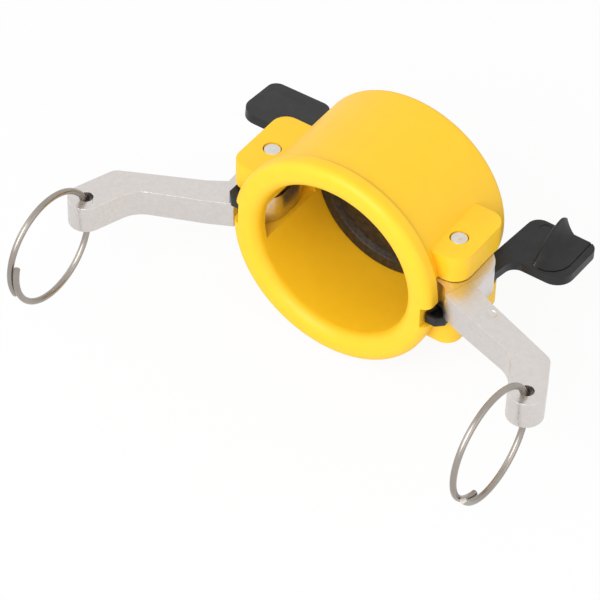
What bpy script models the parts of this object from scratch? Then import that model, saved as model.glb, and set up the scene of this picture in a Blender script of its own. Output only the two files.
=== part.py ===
"""Camlock dust cap for a two inch coupling.

A moulded cup with a soft rim closes a male camlock adapter. Two cam arms turn on pins between
pairs of ears, a split ring hangs in the end of each arm, and under each arm a moulded lock lever
keeps the closed arm from opening until its thumb tab is bent away.

Frame: the origin is the centre of the closed end's outer face. +Y points out of the closed end,
-Y out of the mouth, +X towards the right pair of ears and +Z along the pins. The left side is the
right side turned half a turn about Y. The arms are drawn open.
"""

import math

import bmesh
import bpy
from mathutils import Matrix, Vector

MM = 0.001
CLEAR = 0.3 * MM              # gap between pieces that bear on each other
HOLE_CLEAR = 0.3 * MM         # radial gap around a pin

# Cup
CUP_LENGTH = 55.6 * MM
BORE_RADIUS = 31.75 * MM
CUP_WALL = 8.21 * MM
RIM_BEAD = 2.3 * MM           # how far the rim stands out of the body
RIM_LENGTH = 8.6 * MM
RIM_SHOULDER = 2.4 * MM       # length over which the rim falls to the body
LIP_ROUND = 5.0 * MM          # inner edge of the mouth
RIM_ROUND = 3.6 * MM          # outer edge of the mouth
BACK_ROUND = 2.7 * MM
CUP_STEPS = 72

# Rubber seal disc on the cup's floor
SEAL_DEPTH = 39.76 * MM       # mouth to the seal's sealing face
SEAL_THICKNESS = 6.35 * MM
SEAL_LAND = 5.05 * MM         # width of the raised ring
SEAL_WEB_DROP = 2.0 * MM

# Ears, the gap between them and the slot through the cup's wall
PIN_INSET = 0.1 * MM          # pin axis inside the body's outer wall
PIN_FROM_MOUTH = 22.19 * MM
EAR_SIDE = 8.54 * MM          # pin axis to the ears' outer side
EAR_FRONT = 10.6 * MM         # from the mouth, ears on the arms' free side
EAR_FRONT_LONG = 7.6 * MM     # from the mouth, ears beside the lock levers
EAR_BACK = 40.6 * MM          # from the mouth
EAR_TOP = 18.85 * MM
EAR_ROOT_DEPTH = 6.0 * MM     # how deep the ears start inside the body's wall
EAR_FRONT_ROUND = 7.0 * MM
EAR_LONG_ROUND = 6.0 * MM
EAR_BACK_ROUND = 6.0 * MM
EAR_EDGE = 0.8 * MM
EAR_GAP = 16.6 * MM
SLOT_FRONT = 6.6 * MM         # from the mouth
SLOT_BACK = 37.4 * MM         # from the mouth

# Pins
PIN_RADIUS = 3.2 * MM
PIN_SUNK = 0.35 * MM          # below the ears' faces
PIN_EDGE = 0.4 * MM
PIN_DIMPLE_RADIUS = 0.9 * MM
PIN_DIMPLE_DEPTH = 0.4 * MM

# Cam arms, drawn closed: x away from the cup, y along the first leg, the pin at the origin
ARM_THICKNESS = 11.1 * MM
ARM_EDGE = 0.45 * MM
CAM_RADIUS = 13.3 * MM
CAM_START = math.radians(121.5)
HUB_FLAT = 7.55 * MM          # pin axis to the flat that faces the bore when open
HUB_FLAT_BACK = 6.25 * MM     # length of that flat towards the closed end
HUB_FLAT_FRONT = 4.85 * MM    # and towards the mouth
HUB_ROUND = 9.0 * MM
HUB_NOSE = (2.2 * MM, 12.7 * MM)
CAM_TAPER = math.radians(25)  # from the arm's own back to the end of the cam, when open
HEEL = (14.5 * MM, 11.6 * MM)
HUB_WAIST = (12.0 * MM, 8.3 * MM)
NOTCH = (2.5 * MM, 15.3 * MM)
LEG_NEAR = 3.5 * MM
LEG_FAR_ROOT = 14.6 * MM
LEG_FAR_END = 13.2 * MM
LEG_BEND = 48.0 * MM          # height of the inside of the bend
FLARE_ANGLE = math.radians(46.5)
FLARE_WIDTH = 13.4 * MM
FLARE_END = 6.85 * MM         # beyond the ring's hole
FLARE_ROUND = 6.6 * MM
RING_HOLE = (19.6 * MM, 64.4 * MM)
RING_HOLE_RADIUS = 2.6 * MM
DIMPLE = (6.75 * MM, 28.4 * MM)
DIMPLE_RADIUS = 1.95 * MM
DIMPLE_DEPTH = 0.6 * MM
OPEN_RIGHT = math.radians(110.0)   # from closed to the pose drawn
OPEN_LEFT = math.radians(116.3)

# Lock levers, drawn as they lie: x away from the pin, y along the cup, the pin at the origin
LOCK_THICKNESS = 3.7 * MM
LOCK_EDGE = 0.35 * MM
LOCK_SIDE = 6.6 * MM
LOCK_BORE_SIDE = 7.1 * MM
LOCK_WALL_SIDE = 2.4 * MM
LOCK_NECK = 9.5 * MM
NECK_START = 13.5 * MM
NOSE_SIDE = 0.5 * MM          # past the pin axis towards the cup
NOSE_FRONT = 19.6 * MM        # from the pin axis towards the mouth
NOSE_BEVEL = 2.6 * MM
NOSE_POCKET = 2.3 * MM
NOSE_WALL = 1.2 * MM
NOTCH_CLEAR = 0.4 * MM
NOTCH_TOP = 0.8 * MM          # the notch's upper side, above the cup's middle
TAB_REACH = 31.2 * MM
TAB_FRONT = 22.4 * MM
TAB_FRONT_ROUND = 7.0 * MM
TAB_BACK = 46.8 * MM
TAB_TAPER = 0.5 * MM
TAB_INNER = 4.4 * MM
LEAN_RIGHT = 0.0              # how far each tab rests bent towards its arm
LEAN_LEFT = math.radians(7.0)
FIN_SIDE = 16.6 * MM
FIN_CREST = 1.6 * MM
FIN_HEIGHT = 8.9 * MM         # above the lever's face
FIN_FOOT = 27.6 * MM
FIN_FOOT_FRONT = 24.0 * MM
FIN_FOOT_SPREAD = 14.0 * MM   # how fast the foot reaches its full width
FIN_SUNK = 0.4 * MM           # the scoop's lowest edge, inside the plate
FIN_SCOOP = 4.0               # how hollow the thumb rest is
FIN_RISE = 1.8                # how fast the crest rises from the front
FIN_FRONT = 23.4 * MM
FIN_PEAK = 42.0 * MM
FIN_DROP = 1.9 * MM           # from the peak to the fin's back end
FIN_END = 1.2 * MM            # from the fin's back end to the tab's
FIN_STEPS = 7

# Split rings
RING_RADIUS = 21.3 * MM       # to the middle of the wire
WIRE_RADIUS = 1.2 * MM
RING_LAP = math.radians(42.0)
RING_SEAT = 0.45 * MM         # how far the wire sits back in its hole
RING_TURN = math.radians(-1.0)
RING_TILT_RIGHT = math.radians(8.7)
RING_TILT_LEFT = math.radians(9.2)
RING_JOINT_RIGHT = math.radians(-45.0)  # where the wire's ends lap, from the far side
RING_JOINT_LEFT = math.radians(2.0)

# What follows from the sizes above
BODY_RADIUS = BORE_RADIUS + CUP_WALL
RIM_RADIUS = BODY_RADIUS + RIM_BEAD
PIN_OFFSET = BODY_RADIUS - PIN_INSET
EAR_REACH = PIN_OFFSET + EAR_SIDE
EAR_ROOT = BODY_RADIUS - EAR_ROOT_DEPTH
MOUTH_Y = -CUP_LENGTH
PIN_Y = MOUTH_Y + PIN_FROM_MOUTH
FLOOR = CUP_LENGTH - SEAL_DEPTH - SEAL_THICKNESS - CLEAR
SEAL_RADIUS = BORE_RADIUS - CLEAR
SEAL_WEB_RADIUS = SEAL_RADIUS - SEAL_LAND
ARM_TOP = EAR_GAP / 2 - CLEAR
ARM_BOTTOM = ARM_TOP - ARM_THICKNESS
LOCK_TOP = ARM_BOTTOM - CLEAR
LOCK_BOTTOM = LOCK_TOP - LOCK_THICKNESS
PIN_HOLE_RADIUS = PIN_RADIUS + HOLE_CLEAR
FLEX_Y = EAR_BACK - PIN_FROM_MOUTH + CLEAR
TAB_GAP = CLEAR + LOCK_THICKNESS * math.sin(max(LEAN_RIGHT, LEAN_LEFT))


def clear_scene():
    for obj in list(bpy.data.objects):
        bpy.data.objects.remove(obj, do_unlink=True)


def collection(name):
    made = bpy.data.collections.new(name)
    bpy.context.scene.collection.children.link(made)
    return made


def material(name, colour, roughness, metallic=0.0):
    made = bpy.data.materials.new(name)
    made.use_nodes = True
    shader = made.node_tree.nodes["Principled BSDF"]
    shader.inputs["Base Color"].default_value = (*colour, 1.0)
    shader.inputs["Roughness"].default_value = roughness
    shader.inputs["Metallic"].default_value = metallic
    made.diffuse_color = (*colour, 1.0)
    return made


def place(obj, home, parent=None, finish=None):
    for owner in list(obj.users_collection):
        owner.objects.unlink(obj)
    home.objects.link(obj)
    obj.parent = parent
    if finish:
        obj.data.materials.clear()
        obj.data.materials.append(finish)
    return obj


def empty(name, home, location=(0, 0, 0), rotation=(0, 0, 0), parent=None):
    made = bpy.data.objects.new(name, None)
    home.objects.link(made)
    made.parent = parent
    made.location = location
    made.rotation_euler = rotation
    made.empty_display_size = 5 * MM
    return made


def arc(centre, radius, start, end, steps):
    return [
        (centre[0] + radius * math.cos(start + (end - start) * i / steps),
         centre[1] + radius * math.sin(start + (end - start) * i / steps))
        for i in range(steps + 1)
    ]


def circle(centre, radius, steps=24):
    return arc(centre, radius, 0, 2 * math.pi, steps)[:-1]


def rounded(corners, steps=5):
    """Outline through (x, y, radius) corners, each rounded by its own radius."""
    points = []
    for i, (x, y, radius) in enumerate(corners):
        here = Vector((x, y))
        if not radius:
            points.append((x, y))
            continue
        back = (Vector(corners[i - 1][:2]) - here).normalized()
        ahead = (Vector(corners[(i + 1) % len(corners)][:2]) - here).normalized()
        half = back.angle(ahead) / 2
        centre = here + (back + ahead).normalized() * (radius / math.sin(half))
        first = here + back * (radius / math.tan(half)) - centre
        last = here + ahead * (radius / math.tan(half)) - centre
        sweep = first.angle_signed(last)
        turn = -sweep
        start = math.atan2(first.y, first.x)
        points += arc(centre, radius, start, start + turn, steps)
    return points


def solid_from_curve(curve_object, merge=0.01 * MM):
    """Mesh of a curve object, with its caps welded on."""
    bpy.context.view_layer.update()
    graph = bpy.context.evaluated_depsgraph_get()
    mesh = bpy.data.meshes.new_from_object(curve_object.evaluated_get(graph))
    shape = bmesh.new()
    shape.from_mesh(mesh)
    bmesh.ops.remove_doubles(shape, verts=shape.verts, dist=merge)
    bmesh.ops.recalc_face_normals(shape, faces=shape.faces)
    shape.to_mesh(mesh)
    shape.free()
    made = bpy.data.objects.new(curve_object.name + "_solid", mesh)
    made.matrix_world = curve_object.matrix_world
    name = curve_object.name
    curve = curve_object.data
    bpy.data.objects.remove(curve_object, do_unlink=True)
    bpy.data.curves.remove(curve)
    made.name = name
    mesh.name = name
    return made


def plate(name, outlines, low, high, home):
    """Flat outline with holes, extruded along Z from low to high."""
    curve = bpy.data.curves.new(name, "CURVE")
    curve.dimensions = "2D"
    curve.fill_mode = "BOTH"
    curve.extrude = (high - low) / 2
    for outline in outlines:
        spline = curve.splines.new("POLY")
        spline.points.add(len(outline) - 1)
        for point, (x, y) in zip(spline.points, outline):
            point.co = (x, y, 0, 1)
        spline.use_cyclic_u = True
    obj = bpy.data.objects.new(name, curve)
    home.objects.link(obj)
    solid = solid_from_curve(obj)
    solid.data.transform(Matrix.Translation((0, 0, (high + low) / 2)))
    home.objects.link(solid)
    return solid


def bevel(obj, width, segments=1):
    mod = obj.modifiers.new("soft edges", "BEVEL")
    mod.width = width
    mod.segments = segments
    mod.limit_method = "ANGLE"
    mod.angle_limit = math.radians(40)
    return mod


def boolean(obj, other, operation):
    mod = obj.modifiers.new(other.name, "BOOLEAN")
    mod.operation = operation
    mod.object = other
    mod.solver = "EXACT"
    return mod


def hide_cutter(obj):
    obj.hide_render = True
    obj.display_type = "WIRE"
    return obj


def turned(name, profile, steps, home):
    """Solid turned about local Z from a profile that runs top to bottom outside."""
    mesh = bpy.data.meshes.new(name)
    mesh.from_pydata([(r, 0, z) for r, z in profile], [(i, i + 1) for i in range(len(profile) - 1)], [])
    obj = bpy.data.objects.new(name, mesh)
    home.objects.link(obj)
    mod = obj.modifiers.new("turn", "SCREW")
    mod.axis = "Z"
    mod.angle = 2 * math.pi
    mod.steps = steps
    mod.render_steps = steps
    mod.use_merge_vertices = True
    mod.merge_threshold = 0.01 * MM
    mod.use_smooth_shade = True
    return obj


def box(name, low, high, home):
    shape = bmesh.new()
    bmesh.ops.create_cube(shape, size=1.0)
    mesh = bpy.data.meshes.new(name)
    shape.to_mesh(mesh)
    shape.free()
    size = Vector(high) - Vector(low)
    mesh.transform(Matrix.Translation((Vector(high) + Vector(low)) / 2) @ Matrix.Diagonal((*size, 1)))
    obj = bpy.data.objects.new(name, mesh)
    home.objects.link(obj)
    return obj


def rod(name, radius, low, high, home, steps=24):
    shape = bmesh.new()
    bmesh.ops.create_cone(shape, cap_ends=True, segments=steps, radius1=radius, radius2=radius,
                          depth=high - low)
    mesh = bpy.data.meshes.new(name)
    shape.to_mesh(mesh)
    shape.free()
    mesh.transform(Matrix.Translation((0, 0, (high + low) / 2)))
    obj = bpy.data.objects.new(name, mesh)
    home.objects.link(obj)
    return obj


def loft(name, sections, home):
    """Closed body through equal loops of points, one loop after the other."""
    count = len(sections[0])
    points = [p for section in sections for p in section]
    faces = [tuple(range(count))[::-1], tuple(range(len(points) - count, len(points)))]
    for s in range(len(sections) - 1):
        for i in range(count):
            j = (i + 1) % count
            a, b = s * count, (s + 1) * count
            faces.append((a + i, a + j, b + j, b + i))
    mesh = bpy.data.meshes.new(name)
    mesh.from_pydata(points, [], faces)
    shape = bmesh.new()
    shape.from_mesh(mesh)
    bmesh.ops.recalc_face_normals(shape, faces=shape.faces)
    shape.to_mesh(mesh)
    shape.free()
    obj = bpy.data.objects.new(name, mesh)
    home.objects.link(obj)
    return obj


def cup_profile():
    top = CUP_LENGTH
    lip = arc((BORE_RADIUS + LIP_ROUND, top - LIP_ROUND), LIP_ROUND, math.pi, math.pi / 2, 6)
    edge = arc((RIM_RADIUS - RIM_ROUND, top - RIM_ROUND), RIM_ROUND, math.pi / 2, 0, 6)
    back = arc((BODY_RADIUS - BACK_ROUND, BACK_ROUND), BACK_ROUND, 0, -math.pi / 2, 4)
    shoulder = top - RIM_LENGTH + RIM_SHOULDER
    drop = RIM_RADIUS - BODY_RADIUS
    return (
        [(0, FLOOR), (BORE_RADIUS, FLOOR)]
        + lip + edge
        + [(RIM_RADIUS, shoulder),
           (RIM_RADIUS - 0.25 * drop, shoulder - 0.55 * RIM_SHOULDER),
           (BODY_RADIUS + 0.15 * drop, shoulder - 0.9 * RIM_SHOULDER),
           (BODY_RADIUS, shoulder - 1.4 * RIM_SHOULDER)]
        + back + [(0, 0)]
    )


def build_cup(home, cutters, finish):
    turn_to_mouth = (math.pi / 2, 0, 0)
    cup = turned("cap_body", cup_profile(), CUP_STEPS, home)
    cup.rotation_euler = turn_to_mouth
    place(cup, home, finish=finish)
    for side in (1, -1):
        label = "right" if side > 0 else "left"
        for low, high, level in ((EAR_GAP / 2, EAR_TOP, 1), (-EAR_TOP, -EAR_GAP / 2, -1)):
            beside_lock = level != side
            front = MOUTH_Y + (EAR_FRONT_LONG if beside_lock else EAR_FRONT)
            soft = EAR_LONG_ROUND if beside_lock else EAR_FRONT_ROUND
            outline = rounded([
                (EAR_ROOT, front, 0), (EAR_REACH, front, soft),
                (EAR_REACH, MOUTH_Y + EAR_BACK, EAR_BACK_ROUND), (EAR_ROOT, MOUTH_Y + EAR_BACK, 0)])
            outline = [(side * x, y) for x, y in outline]
            ear = plate(f"{label}_{'upper' if level > 0 else 'lower'}_ear", [outline], low, high, cutters)
            bevel(ear, EAR_EDGE)
            boolean(cup, hide_cutter(ear), "UNION")
    for side in (1, -1):
        label = "right" if side > 0 else "left"
        half = EAR_GAP / 2

        def span(a, b, scale=side):
            return tuple(sorted((scale * a, scale * b)))

        x0, x1 = span(BORE_RADIUS * 0.6, RIM_RADIUS + RIM_ROUND)
        slot = box(f"{label}_slot", (x0, MOUTH_Y + SLOT_FRONT, -half), (x1, MOUTH_Y + SLOT_BACK, half), cutters)
        boolean(cup, hide_cutter(slot), "DIFFERENCE")
        x0, x1 = span(PIN_OFFSET - NOSE_SIDE - NOTCH_CLEAR, RIM_RADIUS + RIM_ROUND)
        z0, z1 = span(-half, NOTCH_TOP)
        notch = box(f"{label}_nose_notch", (x0, MOUTH_Y - RIM_ROUND, z0),
                    (x1, MOUTH_Y + SLOT_FRONT + RIM_ROUND, z1), cutters)
        boolean(cup, hide_cutter(notch), "DIFFERENCE")
        hole = rod(f"{label}_pin_hole", PIN_HOLE_RADIUS, -EAR_TOP * 1.2, EAR_TOP * 1.2, cutters)
        hole.location = (side * PIN_OFFSET, PIN_Y, 0)
        boolean(cup, hide_cutter(hole), "DIFFERENCE")
    return cup


def build_seal(home, finish):
    face = CUP_LENGTH - SEAL_DEPTH
    base = face - SEAL_THICKNESS
    web = face - SEAL_WEB_DROP
    chamfer = 0.4 * MM
    profile = [(0, web), (SEAL_WEB_RADIUS - SEAL_WEB_DROP * 0.4, web), (SEAL_WEB_RADIUS, face),
               (SEAL_RADIUS - chamfer, face), (SEAL_RADIUS, face - chamfer),
               (SEAL_RADIUS, base + chamfer), (SEAL_RADIUS - chamfer, base), (0, base)]
    seal = turned("seal_disc", profile, CUP_STEPS, home)
    seal.rotation_euler = (math.pi / 2, 0, 0)
    return place(seal, home, finish=finish)


def arm_outline():
    """Cam arm seen along its pin, closed, with its pin at the origin."""
    flare = Vector((math.cos(FLARE_ANGLE), math.sin(FLARE_ANGLE)))
    across = Vector((-flare.y, flare.x))
    hole = Vector(RING_HOLE)
    end = hole + flare * FLARE_END
    outer_end = end + across * FLARE_WIDTH / 2
    inner_end = end - across * FLARE_WIDTH / 2
    run = (outer_end.x - LEG_NEAR) / flare.x
    outer_bend = outer_end - flare * run
    inner_bend = inner_end - flare * ((inner_end.x - LEG_FAR_END) / flare.x)
    # The hub's flat lies along the bore when the arm is open, so it is set in the open pose.
    opened = Matrix.Rotation(OPEN_LEFT, 2)
    flat_back = opened @ Vector((-HUB_FLAT, HUB_FLAT_BACK))
    flat_front = opened @ Vector((-HUB_FLAT, -HUB_FLAT_FRONT))
    hub_nose = opened @ Vector((-HUB_NOSE[0], -HUB_NOSE[1]))
    cam_end = math.pi / 2 + CAM_TAPER + OPEN_LEFT
    outline = rounded([
        (LEG_NEAR, NOTCH[1] + 8 * MM, 0),
        (*outer_bend, 5 * MM), (*outer_end, FLARE_ROUND), (*inner_end, FLARE_ROUND),
        (*inner_bend, 12 * MM),
        (LEG_FAR_ROOT, HEEL[1] + 10 * MM, 0), (*HEEL, 1.5 * MM), (*HUB_WAIST, 4 * MM),
        (*hub_nose, 3 * MM), (*flat_front, HUB_ROUND), (*flat_back, 0)], 4)
    cam = arc((0, 0), CAM_RADIUS, cam_end, CAM_START, 14)
    return outline + cam + [NOTCH]


def ring_hole_at(opening):
    """Ring hole's place, from the pin, with the arm turned open by an angle."""
    return Matrix.Rotation(-opening, 2) @ Vector(RING_HOLE)


def build_arm(label, opening, home, cutters, side_root, finish):
    pivot = empty(f"{label}_arm_axis", home, (PIN_OFFSET, PIN_Y, 0), (0, 0, -opening), side_root)
    holes = [circle((0, 0), PIN_HOLE_RADIUS), circle(RING_HOLE, RING_HOLE_RADIUS, 20)]
    arm = plate(f"{label}_cam_arm", [arm_outline()] + holes, ARM_BOTTOM, ARM_TOP, home)
    bevel(arm, ARM_EDGE)
    dimple = rod(f"{label}_arm_dimple", DIMPLE_RADIUS, ARM_TOP - DIMPLE_DEPTH, ARM_TOP + DIMPLE_DEPTH, cutters, 20)
    dimple.location = (*DIMPLE, 0)
    place(dimple, cutters, pivot)
    boolean(arm, hide_cutter(dimple), "DIFFERENCE")
    return place(arm, home, pivot, finish)


def build_pin(label, home, side_root, finish):
    tip = EAR_TOP - PIN_SUNK
    profile = [(0, tip - PIN_DIMPLE_DEPTH), (PIN_DIMPLE_RADIUS, tip), (PIN_RADIUS - PIN_EDGE, tip),
               (PIN_RADIUS, tip - PIN_EDGE), (PIN_RADIUS, PIN_EDGE - tip), (PIN_RADIUS - PIN_EDGE, -tip),
               (PIN_DIMPLE_RADIUS, -tip), (0, PIN_DIMPLE_DEPTH - tip)]
    pin = turned(f"{label}_pivot_pin", profile, 24, home)
    pin.location = (PIN_OFFSET, PIN_Y, 0)
    return place(pin, home, side_root, finish)


def build_lock_lever(label, home, cutters, side_root, finish):
    """The half of the lock lever that the ears hold, with its nose in the rim's notch."""
    side = LOCK_SIDE
    wall = -NOSE_SIDE
    slot_front = SLOT_FRONT - PIN_FROM_MOUTH
    outline = rounded([
        (side, 0, 0), (LOCK_NECK - MM, NECK_START, 0), (LOCK_NECK, FLEX_Y, 0),
        (LOCK_WALL_SIDE, FLEX_Y, 0), (LOCK_WALL_SIDE, SLOT_BACK - PIN_FROM_MOUTH - 4 * MM, 1 * MM),
        (-LOCK_BORE_SIDE, 4 * MM, 2 * MM), (-LOCK_BORE_SIDE, -6 * MM, 1.5 * MM),
        (wall, slot_front + 2 * MM, 1 * MM), (wall, -NOSE_FRONT, 0.6 * MM),
        (side - NOSE_BEVEL, -NOSE_FRONT, 0.6 * MM), (side, NOSE_BEVEL - NOSE_FRONT, 0.6 * MM)], 3)
    lever = plate(f"{label}_lock_lever", [outline, circle((0, 0), PIN_HOLE_RADIUS)], LOCK_BOTTOM, LOCK_TOP, home)
    bevel(lever, LOCK_EDGE)
    pocket = plate(f"{label}_nose_pocket", [rounded([
        (wall + NOSE_WALL, NOSE_WALL - NOSE_FRONT, 0.3 * MM),
        (side - NOSE_BEVEL * 0.8, NOSE_WALL - NOSE_FRONT, 0.3 * MM),
        (side - NOSE_WALL, NOSE_BEVEL - NOSE_FRONT + NOSE_WALL, 0.3 * MM),
        (wall + 2 * NOSE_WALL, slot_front + 5.2 * MM, 0.3 * MM)], 2)],
        LOCK_TOP - NOSE_POCKET, LOCK_TOP + MM, cutters)
    for piece in (lever, pocket):
        piece.location = (PIN_OFFSET, PIN_Y, 0)
    place(pocket, cutters, side_root)
    boolean(lever, hide_cutter(pocket), "DIFFERENCE")
    return place(lever, home, side_root, finish)


def fin_section(y, back):
    """Loop across the thumb rest at one y: a steep crest with a hollow slope down to its foot."""
    middle = LOCK_TOP - LOCK_THICKNESS / 2
    base = LOCK_TOP - FIN_SUNK
    if y < FIN_PEAK:
        left = (FIN_PEAK - y) / (FIN_PEAK - FIN_FRONT)
        height = (FIN_HEIGHT + FIN_SUNK) * (1 - left ** FIN_RISE)
    else:
        height = FIN_HEIGHT + FIN_SUNK - FIN_DROP * ((y - FIN_PEAK) / (back - FIN_PEAK)) ** 2
    foot = min(FIN_FOOT, FIN_FOOT_FRONT + FIN_FOOT_SPREAD * (y - FIN_FRONT) / (back - FIN_FRONT))
    loop = [(FIN_SIDE, y, middle), (FIN_SIDE, y, base + height), (FIN_SIDE + FIN_CREST, y, base + height)]
    for i in range(1, FIN_STEPS + 1):
        t = (i / FIN_STEPS) ** 1.4
        x = FIN_SIDE + FIN_CREST + (foot - FIN_SIDE - FIN_CREST) * t
        loop.append((x, y, base + height * (1 - t) ** FIN_SCOOP))
    return loop + [(foot, y, middle)]


def build_lock_tab(label, lean, home, cutters, side_root, finish):
    """The half that bends: a flat plate with a thumb rest that rises beside the closed arm."""
    flex = empty(f"{label}_lock_axis", home, (PIN_OFFSET, PIN_Y + FLEX_Y + CLEAR / 2, LOCK_BOTTOM),
                 (lean, 0, 0), side_root)
    start = FLEX_Y + TAB_GAP
    outline = rounded([
        (LOCK_WALL_SIDE, start, 0), (LOCK_NECK, start, 0), (LOCK_NECK + 0.6 * MM, TAB_FRONT, 2.6 * MM),
        (TAB_REACH - TAB_TAPER, TAB_FRONT, TAB_FRONT_ROUND), (TAB_REACH, TAB_BACK - TAB_TAPER, 4 * MM),
        (TAB_INNER, TAB_BACK, 5 * MM), (LOCK_WALL_SIDE, TAB_FRONT - 0.8 * MM, 0)], 4)
    tab = plate(f"{label}_lock_tab", [outline], LOCK_BOTTOM, LOCK_TOP, home)
    bevel(tab, LOCK_EDGE)
    back = TAB_BACK - FIN_END
    rows = 2 * FIN_STEPS
    sections = [fin_section(FIN_FRONT + (back - FIN_FRONT) * i / rows, back) for i in range(rows + 1)]
    fin = loft(f"{label}_thumb_rest", sections, cutters)
    offset = Vector((PIN_OFFSET, PIN_Y, 0)) - flex.location
    for piece in (tab, fin):
        piece.location = offset
    place(fin, cutters, flex)
    boolean(tab, hide_cutter(fin), "UNION")
    return place(tab, home, flex, finish)


def build_ring(label, side, opening, tilt, lap_at, home, finish):
    """One turn of wire whose ends lap side by side, threaded through the arm's end."""
    hole = ring_hole_at(opening)
    middle = (ARM_TOP + ARM_BOTTOM) / 2
    curve = bpy.data.curves.new(f"{label}_pull_ring", "CURVE")
    curve.dimensions = "3D"
    curve.bevel_depth = WIRE_RADIUS
    curve.bevel_resolution = 2
    curve.use_fill_caps = True
    steps = 64
    pitch = 2 * WIRE_RADIUS + CLEAR
    sweep = 2 * math.pi + RING_LAP
    spline = curve.splines.new("POLY")
    spline.points.add(steps)
    for i, point in enumerate(spline.points):
        share = i / steps
        angle = lap_at - RING_LAP / 2 + sweep * share
        slip = pitch * (angle - math.pi) / (2 * math.pi)
        point.co = (slip, RING_SEAT - RING_RADIUS - RING_RADIUS * math.cos(angle),
                    RING_RADIUS * math.sin(angle), 1)
    obj = bpy.data.objects.new(f"{label}_pull_ring", curve)
    home.objects.link(obj)
    ring = solid_from_curve(obj)
    ring.rotation_euler = (tilt, 0, RING_TURN)
    ring.location = (side * (PIN_OFFSET + hole.x), PIN_Y + hole.y, side * middle)
    return place(ring, home, finish=finish)


def smooth_round_faces(objects):
    for obj in objects:
        if obj.type == "MESH":
            obj.data.shade_smooth()
            obj.data.set_sharp_from_angle(angle=math.radians(32))


def main():
    clear_scene()
    home = collection("camlock_dust_cap")
    cutters = collection("cutters")
    yellow = material("yellow_nylon", (0.92, 0.62, 0.03), 0.42)
    rubber = material("black_rubber", (0.02, 0.02, 0.02), 0.6)
    alloy = material("tumbled_aluminium", (0.78, 0.77, 0.75), 0.42, 1.0)
    steel = material("stainless_steel", (0.62, 0.60, 0.57), 0.3, 1.0)
    black = material("black_plastic", (0.045, 0.045, 0.05), 0.5)
    wire = material("ring_wire", (0.42, 0.39, 0.36), 0.3, 1.0)

    made = [build_cup(home, cutters, yellow), build_seal(home, rubber)]
    for label, side, opening, lean, tilt, lap_at in (
            ("right", 1, OPEN_RIGHT, LEAN_RIGHT, RING_TILT_RIGHT, RING_JOINT_RIGHT),
            ("left", -1, OPEN_LEFT, LEAN_LEFT, RING_TILT_LEFT, RING_JOINT_LEFT)):
        root = empty(f"{label}_side", home, rotation=(0, 0 if side > 0 else math.pi, 0))
        made += [
            build_arm(label, opening, home, cutters, root, alloy),
            build_pin(label, home, root, steel),
            build_lock_lever(label, home, cutters, root, black),
            build_lock_tab(label, lean, home, cutters, root, black),
            build_ring(label, side, opening, tilt, lap_at, home, wire)]
    smooth_round_faces(made)


main()
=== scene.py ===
"""Looks of the camlock dust cap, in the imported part's frame: a yellow cup on its round side, arms open.

The origin is the centre of the closed end's outer face, +Y out of the closed end, +X right, +Z up
along the pins. The left side is the right side turned half a turn about Y.
"""

import math

import bmesh
import bpy
from mathutils import Matrix, Vector


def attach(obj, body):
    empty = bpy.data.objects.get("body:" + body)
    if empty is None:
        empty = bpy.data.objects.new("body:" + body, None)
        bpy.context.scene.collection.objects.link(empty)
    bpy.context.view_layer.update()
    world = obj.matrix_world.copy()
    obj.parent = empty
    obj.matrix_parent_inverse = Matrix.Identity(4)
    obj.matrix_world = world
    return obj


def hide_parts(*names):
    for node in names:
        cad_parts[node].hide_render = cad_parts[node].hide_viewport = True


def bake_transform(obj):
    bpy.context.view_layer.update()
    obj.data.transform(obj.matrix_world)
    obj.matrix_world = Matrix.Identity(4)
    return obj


MM = 0.001
CLEAR = 0.3 * MM              # gap between pieces that bear on each other
HOLE_CLEAR = 0.3 * MM         # radial gap around a pin
SKIN = 0.02 * MM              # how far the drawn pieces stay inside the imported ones
WELD = 0.01 * MM              # points nearer than this are merged
LAST_WELD = 0.005 * MM        # the same, in a finished piece
SOFT_EDGE_FROM = math.radians(40)   # edges that turn more than this are bevelled

# Cup
CUP_LENGTH = 55.6 * MM
BORE_RADIUS = 31.75 * MM
CUP_WALL = 8.21 * MM
RIM_BEAD = 2.3 * MM           # how far the rim stands out of the body
RIM_LENGTH = 8.6 * MM
RIM_SHOULDER = 2.4 * MM       # from the rim's back end to where its fall to the body begins
LIP_ROUND = 5.0 * MM          # inner edge of the mouth
RIM_ROUND = 3.6 * MM          # outer edge of the mouth
BACK_ROUND = 2.7 * MM
OUTSIDE_FROM = 33.0 * MM      # past this radius the cup is drawn SKIN smaller
EDGE_STEPS = 14
BACK_STEPS = 10
FALL_STEPS = 10

# Rubber seal disc on the cup's floor
SEAL_DEPTH = 39.76 * MM       # mouth to the seal's sealing face
SEAL_THICKNESS = 6.35 * MM
SEAL_LAND = 5.05 * MM         # width of the raised ring
SEAL_WEB_DROP = 2.0 * MM
SEAL_EDGE = 0.6 * MM
SEAL_EDGE_STEPS = 6

# Ears, the gap between them and the slot through the cup's wall
PIN_INSET = 0.1 * MM          # pin axis inside the body's outer wall
PIN_FROM_MOUTH = 22.19 * MM
EAR_SIDE = 8.54 * MM          # pin axis to the ears' outer side
EAR_FRONT = 10.6 * MM         # from the mouth, ears on the arms' free side
EAR_FRONT_LONG = 7.6 * MM     # from the mouth, ears beside the lock levers
EAR_BACK = 40.6 * MM          # from the mouth
EAR_TOP = 18.85 * MM
EAR_ROOT_DEPTH = 6.0 * MM     # how deep the ears start inside the body's wall
EAR_FRONT_ROUND = 7.0 * MM
EAR_LONG_ROUND = 6.0 * MM
EAR_BACK_ROUND = 6.0 * MM
EAR_EDGE = 0.8 * MM
EAR_GAP = 16.6 * MM
SLOT_FRONT = 6.6 * MM         # from the mouth
SLOT_BACK = 37.4 * MM         # from the mouth

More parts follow.
